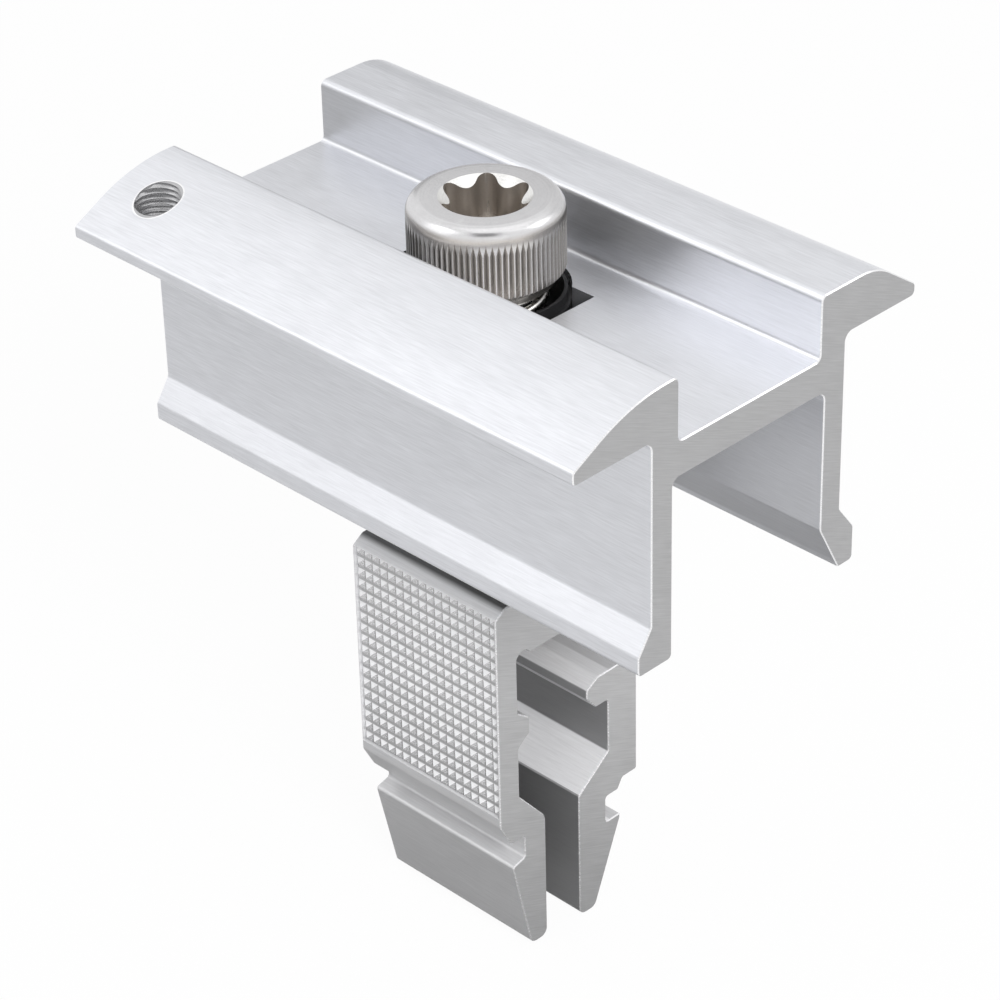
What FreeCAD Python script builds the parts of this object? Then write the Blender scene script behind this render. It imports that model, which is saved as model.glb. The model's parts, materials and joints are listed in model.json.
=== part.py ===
import FreeCAD, Part
import math
import os
import types

import Sketcher

# Solar panel mid clamp. X runs along the extruded clamp, Y across it, Z is up.
# The origin lies on the bolt axis at the channel floor, in the middle of the clamp's length.
# Sizes are in millimetres. A size called drop is a depth below the channel floor.

SIZES = [
    ("clamp_length", 58.0, "length of the clamp along X"),
    ("channel_half", 8.35, "half width of the channel between the wings"),
    ("web_thick", 3.2, "thickness of the channel floor"),
    ("wing_top", 5.8, "height of the wings above the floor"),
    ("wing_under", 1.2, "height of the wings' seats above the floor"),
    ("wing_reach", 20.05, "half width over the wing tips"),
    ("front_flat_share", 0.41, "share of the front wing's top before it starts to fall"),
    ("front_tip", 2.4, "height of the front wing's tip"),
    ("rear_shoulder", 15.1, "where the rear wing starts to fall"),
    ("rear_tip", 2.3, "height of the rear wing's tip"),
    ("front_round_share", 0.97, "share of that flat top which the wing's long rounding takes"),
    ("rear_shoulder_round", 6.0, "radius of the rear wing's shoulder"),
    ("wing_edge_round", 0.6, "radius of the wings' inner top edges"),
    ("tip_round", 0.4, "radius of the front wing tip's corners"),
    ("rear_tip_round", 0.55, "radius of the rear wing tip's corners"),
    ("root_round", 0.8, "radius where leg meets wing or floor"),
    ("floor_round", 0.5, "radius of the channel's corners"),
    ("leg_inner", 9.0, "half of the space between the legs"),
    ("leg_thick", 2.4, "thickness of a leg"),
    ("toe_out", 1.5, "how far the front toe stands out from its leg"),
    ("leg_drop", 19.85, "drop of the front leg's foot"),
    ("toe_height", 1.8, "height of the front toe at its full width"),
    ("toe_slope", 2.25, "height of the front toe's slope"),
    ("rear_toe_out", 1.85, "how far the rear toe stands out from its leg"),
    ("rear_leg_longer", 1.25, "how much longer the rear leg is than the front leg"),
    ("rear_toe_height", 3.3, "height of the rear toe at its full width"),
    ("rear_toe_slope", 2.45, "height of the rear toe's slope"),
    ("rear_bevel_height", 4.7, "height of the rear leg's inner bevel"),
    ("rear_bevel_width", 2.45, "width of the rear leg's inner bevel"),
    ("toe_round", 0.5, "radius of the toes' corners"),
    ("end_edge", 0.1, "edge break on the sawn ends"),
    ("hole_radius", 6.17, "radius of the rounded ends of the floor's slot"),
    ("hole_shift", 1.2, "half the length of the slot's straight part"),
    ("notch_half_length", 8.6, "half length of the square notch in the floor"),
    ("notch_half_width", 3.8, "half width of the square notch in the floor"),
    ("earth_radius", 2.1, "radius of the tapped earthing hole"),
    ("earth_from_end", 5.1, "earthing hole's distance from the clamp's end"),
    ("earth_across", 14.9, "earthing hole's distance from the middle plane"),
    ("screw_radius", 3.97, "radius of the screw's shank"),
    ("head_radius", 6.635, "radius over the knurl"),
    ("head_lift", 0.45, "height of the head's underside at rest"),
    ("head_height", 7.4, "height of the screw's head"),
    ("head_round", 1.3, "radius of the head's top edge"),
    ("rim_radius", 5.8, "radius of the head's underside"),
    ("rim_height", 0.85, "height of the bevel under the head"),
    ("rim_width", 0.5, "width of the bevel under the head"),
    ("knurl_depth", 0.28, "depth of the knurl's grooves"),
    ("knurl_count", 80, "grooves round the head"),
    ("knurl_share", 0.85, "share of the knurl's pitch that a groove takes"),
    ("knurl_height", 5.15, "height of the grooves' straight part above the head's underside"),
    ("knurl_run", 1.05, "height over which a groove runs out in a point"),
    ("knurl_slant", 9.7, "slant of the run-out in degrees"),
    ("socket_outer", 3.93, "radius to the socket's six points"),
    ("socket_inner", 2.95, "radius to the socket's six flanks"),
    ("socket_point", 0.9, "radius of each socket point"),
    ("socket_depth", 3.7, "depth of the socket"),
    ("socket_turn", 13.0, "turn of the socket's points in degrees"),
    ("drill_radius", 2.7, "radius of the cone at the socket's bottom"),
    ("drill_depth", 0.9, "depth of that cone"),
    ("sink_depth", 0.68, "depth of the socket's lead-in"),
    ("screw_reach", 31.25, "drop of the screw's tip"),
    ("tip_bevel", 0.8, "bevel of the screw's tip"),
    ("thread_gap", 0.05, "running clearance of the screw in its bore"),
    ("spring_wire", 0.55, "radius of the lift spring's wire"),
    ("spring_bore_gap", 0.13, "clearance between spring and screw"),
    ("spring_end_gap", 0.05, "clearance at each end of the spring"),
    ("spring_turns", 9, "turns of the lift spring"),
    ("sleeve_gap", 0.05, "clearance of the sleeve in the floor's slot"),
    ("sleeve_wall", 0.6, "wall of the guide sleeve"),
    ("sleeve_top_drop", 1.15, "drop of the sleeve's ledge"),
    ("collar_drop", 0.15, "drop of the upper rim of the sleeve's collar"),
    ("collar_step", 0.3, "width of the ledge round the collar"),
    ("sleeve_drop", 8.0, "drop of the sleeve's lower rim"),
    ("flange_out", 2.0, "how far the sleeve's flange stands out"),
    ("flange_thick", 1.2, "thickness of the sleeve's flange"),
    ("jaw_length", 17.5, "length of the jaws along X"),
    ("jaw_gap", 0.3, "clearance between a jaw and its leg"),
    ("arm_drop", 25.2, "drop of the front jaw's top"),
    ("arm_thick", 5.9, "thickness of the front jaw's arm"),
    ("arm_end_gap", 0.3, "clearance between the arm's end and the rear jaw"),
    ("top_bevel_width", 1.2, "width of the front jaw's top bevel"),
    ("top_bevel_height", 0.8, "height of the front jaw's top bevel"),
    ("front_plate", 2.45, "thickness of the front jaw's plate"),
    ("relief_width", 1.6, "width of the relief under the arm"),
    ("relief_rise", 0.5, "height of the relief under the arm"),
    ("relief_slope", 0.5, "slope at the relief's ends"),
    ("rib_out", 1.4, "how far the rib stands out from the plate"),
    ("rib_drop", 38.6, "drop of the rib's middle"),
    ("rib_half", 1.85, "half height of the rib at its foot"),
    ("rib_tip_half", 0.8, "half height of the rib at its tip"),
    ("front_slope_drop", 45.7, "drop where the front jaw starts to thicken"),
    ("front_slope_height", 3.75, "height of the front jaw's inner slope"),
    ("front_toe_inner", 3.1, "front toe's inner face from the middle plane"),
    ("front_foot_drop", 62.8, "drop of the front toe's foot"),
    ("foot_width", 2.0, "width of the toes' feet"),
    ("front_barb_out", 7.3, "front barb's tip from the middle plane"),
    ("front_barb_drop", 52.95, "drop of the front barb's tip"),
    ("front_neck", 5.75, "front hook's neck from the middle plane"),
    ("hook_slope", 0.4, "fall of the hooks' shelves"),
    ("front_seat_drop", 50.25, "drop of the front jaw's seat"),
    ("front_bevel_drop", 47.8, "drop where the front jaw's lower bevel starts"),
    ("front_bevel_width", 1.3, "width of the front jaw's lower bevel"),
    ("texture_depth", 0.4, "depth of the grip's pyramids"),
    ("texture_rows", 18, "rows of pyramids"),
    ("texture_columns", 18, "pyramids in a row"),
    ("texture_drop", 46.85, "drop of the grip's lower edge"),
    ("texture_strip", 0.28, "flat strip between two rows"),
    ("texture_rim", 0.15, "plain rim beside the grip"),
    ("hinge_inset", 1.0, "hinge axis from the arm's end"),
    ("hinge_drop", 28.6, "drop of the hinge axis"),
    ("bead_radius", 1.25, "radius of the hinge bead"),
    ("bead_gap", 0.08, "running clearance of the hinge bead"),
    ("bead_neck", 1.0, "thickness of the bead's neck"),
    ("tongue_thick", 1.2, "thickness of the rear jaw's tongue"),
    ("tongue_top_drop", 25.9, "drop of the tongue's top"),
    ("heel_height", 0.8, "height of the stop at the tongue's top"),
    ("heel_gap", 0.05, "clearance at the stop"),
    ("nose_drop", 38.0, "drop of the rear jaw's nose"),
    ("nose_out", 2.3, "nose from the middle plane"),
    ("nose_bevel_width", 1.4, "width of the nose's bevel"),
    ("nose_bevel_height", 0.85, "height of the nose's bevel"),
    ("nose_face", 0.9, "height of the nose's front"),
    ("nose_under_drop", 41.15, "drop of the nose's underside"),
    ("nose_curve", 1.15, "width of the nose's lower slope"),
    ("tongue_foot", 0.5, "width of the step at the tongue's foot"),
    ("rear_plate", 3.7, "thickness of the rear jaw's plate"),
    ("rear_slope_drop", 46.75, "drop where the rear jaw starts to thicken"),
    ("rear_slope_height", 2.95, "height of the rear jaw's inner slope"),
    ("rear_toe_inner", 1.15, "rear toe's inner face from the middle plane"),
    ("rear_foot_drop", 63.3, "drop of the rear toe's foot"),
    ("rear_barb_out", 6.5, "rear barb's tip from the middle plane"),
    ("rear_barb_drop", 54.9, "drop of the rear barb's tip"),
    ("rear_neck", 4.65, "rear hook's neck from the middle plane"),
    ("rear_seat_drop", 50.65, "drop of the rear jaw's seat"),
    ("rear_step_drop", 51.7, "drop of the step beside the rear hook"),
    ("rear_step_out", 6.85, "outer end of that step from the middle plane"),
    ("rear_step_rise", 0.65, "width of the slope beside the step"),
    ("jaw_round", 0.3, "radius of the jaws' small corners"),
    ("foot_round", 0.85, "radius of the toes' feet"),
    ("slope_round", 1.2, "radius at the foot of the inner slopes"),
    ("leaf_thick", 0.3, "thickness of the jaw spring"),
    ("leaf_length", 12.0, "length of the jaw spring along X"),
    ("leaf_from_axis", 4.95, "jaw spring from the screw's axis"),
    ("leaf_slot_depth", 0.9, "depth of the jaw spring's slot in the arm"),
    ("leaf_fit", 0.03, "clearance of the jaw spring in its slot"),
    ("leaf_bend_drop", 31.6, "drop of the jaw spring's upper bend"),
    ("leaf_touch_drop", 33.35, "drop of the jaw spring's touching edge"),
    ("leaf_end_drop", 34.6, "drop of the jaw spring's free end"),
    ("leaf_gap", 0.42, "gap between jaw spring and rear jaw"),
    ("leaf_tail", 0.35, "how far the jaw spring's free end turns back"),
]


class Size:
    """A length together with the sheet expression that gives it."""

    def __init__(self, value, text):
        self.value = value
        self.text = text

    def joined(self, sign, other, value):
        return Size(value, "(%s %s %s)" % (self.text, sign, as_size(other).text))

    def __add__(self, other):
        return self.joined("+", other, self.value + as_size(other).value)

    def __sub__(self, other):
        return self.joined("-", other, self.value - as_size(other).value)

    def __mul__(self, other):
        return self.joined("*", other, self.value * as_size(other).value)

    def __truediv__(self, other):
        return self.joined("/", other, self.value / as_size(other).value)

    def __neg__(self):
        return Size(-self.value, "(0 - %s)" % self.text)


def as_size(number):
    return number if isinstance(number, Size) else Size(float(number), repr(number))


ZERO = as_size(0)

doc = FreeCAD.newDocument("mid_clamp")
sheet = doc.addObject("Spreadsheet::Sheet", "Sizes")
for row, (alias, value, meaning) in enumerate(SIZES, start=1):
    sheet.set("A%d" % row, meaning)
    sheet.set("B%d" % row, str(value))
    sheet.setAlias("B%d" % row, alias)
doc.recompute()
s = types.SimpleNamespace(**{alias: Size(value, "Sizes." + alias) for alias, value, meaning in SIZES})


def new_body(label):
    body = doc.addObject("PartDesign::Body", label)
    body.Label = label
    body.Placement = FreeCAD.Placement()
    return body


def origin_part(body, role):
    return next(item for item in body.Origin.OriginFeatures if item.Role == role)


def new_sketch(body, name, plane, offset=None):
    """A sketch on one of the body's own planes, moved along the plane's normal by offset."""
    sketch = body.newObject("Sketcher::SketchObject", name)
    sketch.AttachmentSupport = [(origin_part(body, plane), "")]
    sketch.MapMode = "FlatFace"
    if offset is not None:
        sketch.setExpression("AttachmentOffset.Base.z", offset.text)
    return sketch


def bind(sketch, kind, places, size):
    index = sketch.addConstraint(Sketcher.Constraint(kind, *places, size.value))
    sketch.setExpression("Constraints[%d]" % index, size.text)


def pin_point(sketch, curve, end, across, up):
    """Ties one end of a curve to its distances from the sketch's two axes."""
    for kind, size, axis in (("DistanceX", across, -2), ("DistanceY", up, -1)):
        if size is ZERO:
            sketch.addConstraint(Sketcher.Constraint("PointOnObject", curve, end, axis))
        else:
            bind(sketch, kind, (-1, 1, curve, end), size)


def outline(sketch, corners):
    """A closed run of straight lines through corners, each tied to the sheet."""
    first = sketch.GeometryCount
    points = [FreeCAD.Vector(across.value, up.value, 0) for across, up in corners]
    for start, end in zip(points, points[1:] + points[:1]):
        sketch.addGeometry(Part.LineSegment(start, end), False)
    count = len(corners)
    for step in range(count):
        ends = (first + step, 2, first + (step + 1) % count, 1)
        sketch.addConstraint(Sketcher.Constraint("Coincident", *ends))
    for step, (across, up) in enumerate(corners):
        pin_point(sketch, first + step, 1, across, up)


def disc(sketch, across, up, radius):
    centre = FreeCAD.Vector(across.value, up.value, 0)
    curve = sketch.addGeometry(Part.Circle(centre, FreeCAD.Vector(0, 0, 1), radius.value), False)
    bind(sketch, "Radius", (curve,), radius)
    pin_point(sketch, curve, 3, across, up)


def oblong(sketch, shift, radius):
    """A slot with round ends, centred on the sketch's origin and lying along its first axis."""
    up = FreeCAD.Vector(0, 0, 1)
    right = Part.Circle(FreeCAD.Vector(shift.value, 0, 0), up, radius.value)
    left = Part.Circle(FreeCAD.Vector(-shift.value, 0, 0), up, radius.value)
    quarter = math.pi / 2
    corner = [FreeCAD.Vector(x * shift.value, y * radius.value, 0) for x, y in ((1, 1), (-1, 1), (-1, -1), (1, -1))]
    first = sketch.GeometryCount
    sketch.addGeometry(Part.ArcOfCircle(right, -quarter, quarter), False)
    sketch.addGeometry(Part.LineSegment(corner[0], corner[1]), False)
    sketch.addGeometry(Part.ArcOfCircle(left, quarter, 3 * quarter), False)
    sketch.addGeometry(Part.LineSegment(corner[2], corner[3]), False)
    for curve, other in ((0, 1), (1, 2), (2, 3), (3, 0)):
        ends = (first + curve, 2, first + other, 1)
        sketch.addConstraint(Sketcher.Constraint("Tangent", *ends))
    for curve, size in ((first, shift), (first + 2, -shift)):
        bind(sketch, "Radius", (curve,), radius)
        pin_point(sketch, curve, 3, size, ZERO)


def pad(body, name, sketch, length, centred=False, reverse=False):
    feature = body.newObject("PartDesign::Pad", name)
    feature.Profile = sketch
    feature.setExpression("Length", length.text)
    feature.SideType = "Symmetric" if centred else "One side"
    feature.Reversed = reverse
    return finish(body, feature)


def pocket(body, name, sketch, length, centred=False, reverse=False, slant=None):
    """Cuts a sketch into the body and makes sure that it took something away."""
    before = body.Shape.Volume
    feature = body.newObject("PartDesign::Pocket", name)
    feature.Profile = sketch
    feature.setExpression("Length", length.text)
    feature.SideType = "Symmetric" if centred else "One side"
    feature.Reversed = reverse
    if slant is not None:
        feature.setExpression("TaperAngle", slant.text)
    finish(body, feature)
    if body.Shape.Volume >= before:
        raise RuntimeError(name + " cuts nothing")
    return feature


def finish(body, feature):
    doc.recompute()
    body.Tip = feature
    doc.recompute()
    return feature


def line_up(body, name, feature, axis, spacing, count, reverse=False):
    """Repeats a feature along one of the body's axes."""
    pattern = body.newObject("PartDesign::LinearPattern", name)
    pattern.Originals = [feature]
    pattern.Direction = (origin_part(body, axis), [""])
    pattern.Reversed = reverse
    pattern.setExpression("Length", (spacing * (count - 1)).text)
    pattern.setExpression("Occurrences", count.text)
    return finish(body, pattern)


def edges_along_x(shape, corner):
    """Names of the edges that run along X through a corner of the section."""
    names = []
    for index, edge in enumerate(shape.Edges, start=1):
        start, end = edge.firstVertex().Point, edge.lastVertex().Point
        level = abs(start.y - end.y) < 1e-6 and abs(start.z - end.z) < 1e-6
        near = math.hypot(start.y - corner[0].value, start.z - corner[1].value) < 1e-4
        if level and near and abs(start.x - end.x) > 1e-3:
            names.append("Edge%d" % index)
    if not names:
        raise RuntimeError("no edge at %.2f, %.2f" % (corner[0].value, corner[1].value))
    return names


def round_corners(body, name, corners, radius):
    base = body.Tip
    names = [edge for corner in corners for edge in edges_along_x(base.Shape, corner)]
    fillet = body.newObject("PartDesign::Fillet", name)
    fillet.Base = (base, names)
    fillet.setExpression("Radius", radius.text)
    return finish(body, fillet)


def break_end_edges(body, name, half_length, width):
    """A small bevel all round both sawn ends."""
    base = body.Tip
    names = []
    for index, edge in enumerate(base.Shape.Edges, start=1):
        places = [vertex.Point.x for vertex in edge.Vertexes]
        if all(abs(abs(place) - half_length.value) < 1e-6 for place in places):
            names.append("Edge%d" % index)
    bevel = body.newObject("PartDesign::Chamfer", name)
    bevel.Base = (base, names)
    bevel.setExpression("Size", width.text)
    return finish(body, bevel)


def make_clamp_body():
    """The extruded clamp: a channel with two wings above and two legs below."""
    body = new_body("clamp_body")
    leg_outer = s.leg_inner + s.leg_thick
    front_toe = -(leg_outer + s.toe_out)
    rear_toe = leg_outer + s.rear_toe_out
    rear_foot = s.leg_drop + s.rear_leg_longer
    flat_start = s.channel_half + s.wing_edge_round
    front_shoulder = flat_start + (s.wing_reach - flat_start) * s.front_flat_share
    front_round = (front_shoulder - flat_start) * (s.wing_reach - front_shoulder) * 2
    front_round = front_round / (s.wing_top - s.front_tip) * s.front_round_share
    corners = {
        "floor_front": (-s.channel_half, ZERO),
        "edge_front": (-s.channel_half, s.wing_top),
        "shoulder_front": (-front_shoulder, s.wing_top),
        "tip_front": (-s.wing_reach, s.front_tip),
        "tip_front_low": (-s.wing_reach, s.wing_under),
        "root_front": (-leg_outer, s.wing_under),
        "toe_front_start": (-leg_outer, s.toe_height + s.toe_slope - s.leg_drop),
        "toe_front_full": (front_toe, s.toe_height - s.leg_drop),
        "foot_front_outer": (front_toe, -s.leg_drop),
        "foot_front_inner": (-s.leg_inner, -s.leg_drop),
        "web_front": (-s.leg_inner, -s.web_thick),
        "web_rear": (s.leg_inner, -s.web_thick),
        "bevel_rear": (s.leg_inner, s.rear_bevel_height - rear_foot),
        "foot_rear_inner": (s.leg_inner + s.rear_bevel_width, -rear_foot),
        "foot_rear_outer": (rear_toe, -rear_foot),
        "toe_rear_full": (rear_toe, s.rear_toe_height - rear_foot),
        "toe_rear_start": (leg_outer, s.rear_toe_height + s.rear_toe_slope - rear_foot),
        "root_rear": (leg_outer, s.wing_under),
        "tip_rear_low": (s.wing_reach, s.wing_under),
        "tip_rear": (s.wing_reach, s.rear_tip),
        "shoulder_rear": (s.rear_shoulder, s.wing_top),
        "edge_rear": (s.channel_half, s.wing_top),
        "floor_rear": (s.channel_half, ZERO),
    }
    section = new_sketch(body, "clamp_section", "YZ_Plane")
    outline(section, list(corners.values()))
    pad(body, "clamp_pad", section, s.clamp_length, centred=True)
    rounds = (
        ("front_shoulder_fillet", ("shoulder_front",), front_round),
        ("rear_shoulder_fillet", ("shoulder_rear",), s.rear_shoulder_round),
        ("wing_edge_fillet", ("edge_front", "edge_rear"), s.wing_edge_round),
        ("root_fillet", ("root_front", "root_rear", "web_front", "web_rear"), s.root_round),
        ("floor_fillet", ("floor_front", "floor_rear"), s.floor_round),
        ("tip_fillet", ("tip_front", "tip_front_low"), s.tip_round),
        ("rear_tip_fillet", ("tip_rear", "tip_rear_low"), s.rear_tip_round),
        ("toe_fillet", ("toe_front_start", "toe_front_full", "foot_front_outer", "foot_front_inner",
                        "toe_rear_start", "toe_rear_full", "foot_rear_outer"), s.toe_round),
    )
    for name, places, radius in rounds:
        round_corners(body, name, [corners[place] for place in places], radius)
    break_end_edges(body, "clamp_end_bevel", s.clamp_length / 2, s.end_edge)
    slot = new_sketch(body, "slot_outline", "XY_Plane")
    oblong(slot, s.hole_shift, s.hole_radius)
    pocket(body, "slot_pocket", slot, s.web_thick * 2, centred=True)
    notch = new_sketch(body, "notch_outline", "XY_Plane")
    half_x, half_y = s.notch_half_length, s.notch_half_width
    outline(notch, [(-half_x, -half_y), (half_x, -half_y), (half_x, half_y), (-half_x, half_y)])
    pocket(body, "notch_pocket", notch, s.web_thick * 2, centred=True)
    earth = new_sketch(body, "earth_outline", "XY_Plane")
    disc(earth, s.earth_from_end - s.clamp_length / 2, -s.earth_across, s.earth_radius)
    pocket(body, "earth_pocket", earth, s.wing_top * 2, centred=True)
    return body


def make_cap_screw():
    """The socket head screw, turned, knurled and broached."""
    body = new_body("cap_screw")
    top = s.head_lift + s.head_height
    profile = new_sketch(body, "screw_profile", "XZ_Plane")
    rim_outer = s.rim_radius + s.rim_width
    corners = [
        (ZERO, -s.screw_reach),
        (s.screw_radius - s.tip_bevel, -s.screw_reach),
        (s.screw_radius, s.tip_bevel - s.screw_reach),
        (s.screw_radius, s.head_lift),
        (s.rim_radius, s.head_lift),
        (rim_outer, s.head_lift + s.rim_height),
        (s.head_radius, s.head_lift + s.rim_height + (s.head_radius - rim_outer)),
        (s.head_radius, top),
        (ZERO, top),
    ]
    outline(profile, corners)
    turned = body.newObject("PartDesign::Revolution", "screw_turned")
    turned.Profile = profile
    turned.ReferenceAxis = (profile, ["V_Axis"])
    turned.Angle = 360
    finish(body, turned)
    edge = [
        "Edge%d" % index
        for index, item in enumerate(turned.Shape.Edges, start=1)
        if abs(item.BoundBox.ZMin - top.value) < 1e-6 and item.BoundBox.XLength > s.head_radius.value
    ]
    crown = body.newObject("PartDesign::Fillet", "head_fillet")
    crown.Base = (turned, edge)
    crown.setExpression("Radius", s.head_round.text)
    finish(body, crown)
    cut_socket(body, top)
    cut_knurl(body)
    return body


def cut_socket(body, top):
    """Six rounded points with hollow flanks between them, under a shallow lead-in."""
    turn_out(body, "sink", [
        (ZERO, top),
        (s.socket_outer, top),
        (s.socket_inner, top - s.sink_depth),
        (ZERO, top - s.sink_depth),
    ])
    bottom = top - s.socket_depth
    turn_out(body, "drill", [
        (ZERO, bottom + s.drill_depth),
        (s.drill_radius, bottom + s.drill_depth),
        (s.drill_radius, bottom),
        (ZERO, bottom - s.drill_depth),
    ])
    flower = doc.addObject("Part::Feature", "socket_flower")
    flower.Shape = socket_prism(top.value - s.socket_depth.value, s.socket_depth.value)
    tool = body.newObject("PartDesign::Boolean", "socket_cut")
    tool.Type = "Cut"
    holder = doc.addObject("PartDesign::Body", "socket_tool")
    holder.BaseFeature = flower
    doc.recompute()
    tool.setObjects([holder])
    finish(body, tool)


def turn_out(body, name, corners):
    """Turns a profile's space out of the body, round the screw's axis."""
    before = body.Shape.Volume
    profile = new_sketch(body, name + "_profile", "XZ_Plane")
    outline(profile, corners)
    groove = body.newObject("PartDesign::Groove", name + "_groove")
    groove.Profile = profile
    groove.ReferenceAxis = (profile, ["V_Axis"])
    groove.Angle = 360
    finish(body, groove)
    if body.Shape.Volume >= before:
        raise RuntimeError(name + "_groove cuts nothing")


def socket_prism(bottom, height):
    """The socket's space: point arcs joined by flank arcs that meet them at a tangent."""
    outer, inner, point = s.socket_outer.value, s.socket_inner.value, s.socket_point.value
    reach = outer - point
    cosine = math.cos(math.pi / 6)
    flank = (reach ** 2 + inner ** 2 - 2 * reach * inner * cosine - point ** 2)
    flank = flank / (2 * (point - inner + reach * cosine))
    centre = inner + flank
    edges = []

    def spot(radius, angle):
        return FreeCAD.Vector(radius * math.cos(angle), radius * math.sin(angle), bottom)

    def joint(angle, side):
        """Where a point arc meets the flank arc on its given side."""
        nub = spot(reach, angle)
        hub = spot(centre, angle + side * math.pi / 6)
        return nub + (hub - nub) * (point / (point + flank))

    for turn in range(6):
        angle = math.radians(s.socket_turn.value) + turn * math.pi / 3
        after = angle + math.pi / 3
        left, right, onward = joint(angle, -1), joint(angle, 1), joint(after, -1)
        edges.append(Part.Arc(left, spot(outer, angle), right).toShape())
        edges.append(Part.Arc(right, spot(inner, angle + math.pi / 6), onward).toShape())
    face = Part.Face(Part.Wire(edges))
    return face.extrude(FreeCAD.Vector(0, 0, height))


def cut_knurl(body):
    """Upright V grooves round the head, each of which runs out in a point at its upper end."""
    half = s.head_radius * (math.pi / s.knurl_count.value) * s.knurl_share
    outside = s.head_radius + s.knurl_depth
    corners = [
        (s.head_radius - s.knurl_depth, ZERO),
        (outside, -(half * 2)),
        (outside, half * 2),
    ]
    groove = new_sketch(body, "knurl_groove", "XY_Plane", s.head_lift)
    outline(groove, corners)
    cut = pocket(body, "knurl_cut", groove, s.knurl_height, reverse=True)
    runout = new_sketch(body, "knurl_runout", "XY_Plane", s.head_lift + s.knurl_height)
    outline(runout, corners)
    point = pocket(body, "knurl_point", runout, s.knurl_run, reverse=True, slant=-s.knurl_slant)
    pattern = body.newObject("PartDesign::PolarPattern", "knurl")
    pattern.Originals = [cut, point]
    pattern.Axis = (origin_part(body, "Z_Axis"), [""])
    pattern.Angle = 360
    pattern.setExpression("Occurrences", s.knurl_count.text)
    finish(body, pattern)


def make_lift_spring():
    """The wire spring round the screw, from the arm up to the head."""
    body = new_body("lift_spring")
    mean = s.screw_radius + s.spring_bore_gap + s.spring_wire
    low = s.spring_end_gap + s.spring_wire - s.arm_drop
    high = s.head_lift - s.spring_end_gap - s.spring_wire
    wire = new_sketch(body, "wire_section", "XZ_Plane")
    disc(wire, mean, low, s.spring_wire)
    coil = body.newObject("PartDesign::AdditiveHelix", "coil")
    coil.Profile = wire
    coil.ReferenceAxis = (wire, ["V_Axis"])
    coil.Mode = "height-turns-angle"
    coil.setExpression("Height", (high - low).text)
    coil.setExpression("Turns", s.spring_turns.text)
    coil.Angle = 0
    finish(body, coil)
    return body


def make_guide_sleeve():
    """The plastic sleeve in the floor's slot, with its flange under the floor."""
    body = new_body("guide_sleeve")
    outer = s.hole_radius - s.sleeve_gap
    tube = new_sketch(body, "sleeve_outline", "XY_Plane", -s.sleeve_drop)
    oblong(tube, s.hole_shift, outer)
    pad(body, "sleeve_pad", tube, s.sleeve_drop - s.sleeve_top_drop)
    collar = new_sketch(body, "collar_outline", "XY_Plane", -s.sleeve_top_drop)
    oblong(collar, s.hole_shift, outer - s.collar_step)
    pad(body, "collar_pad", collar, s.sleeve_top_drop - s.collar_drop)
    under = s.web_thick + s.sleeve_gap
    flange = new_sketch(body, "flange_outline", "XY_Plane", -(under + s.flange_thick))
    oblong(flange, s.hole_shift, outer + s.flange_out)
    pad(body, "flange_pad", flange, s.flange_thick)
    bore = new_sketch(body, "sleeve_bore", "XY_Plane", -s.sleeve_drop)
    oblong(bore, s.hole_shift, outer - s.sleeve_wall)
    pocket(body, "bore_pocket", bore, s.sleeve_drop, reverse=True)
    return body


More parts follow.
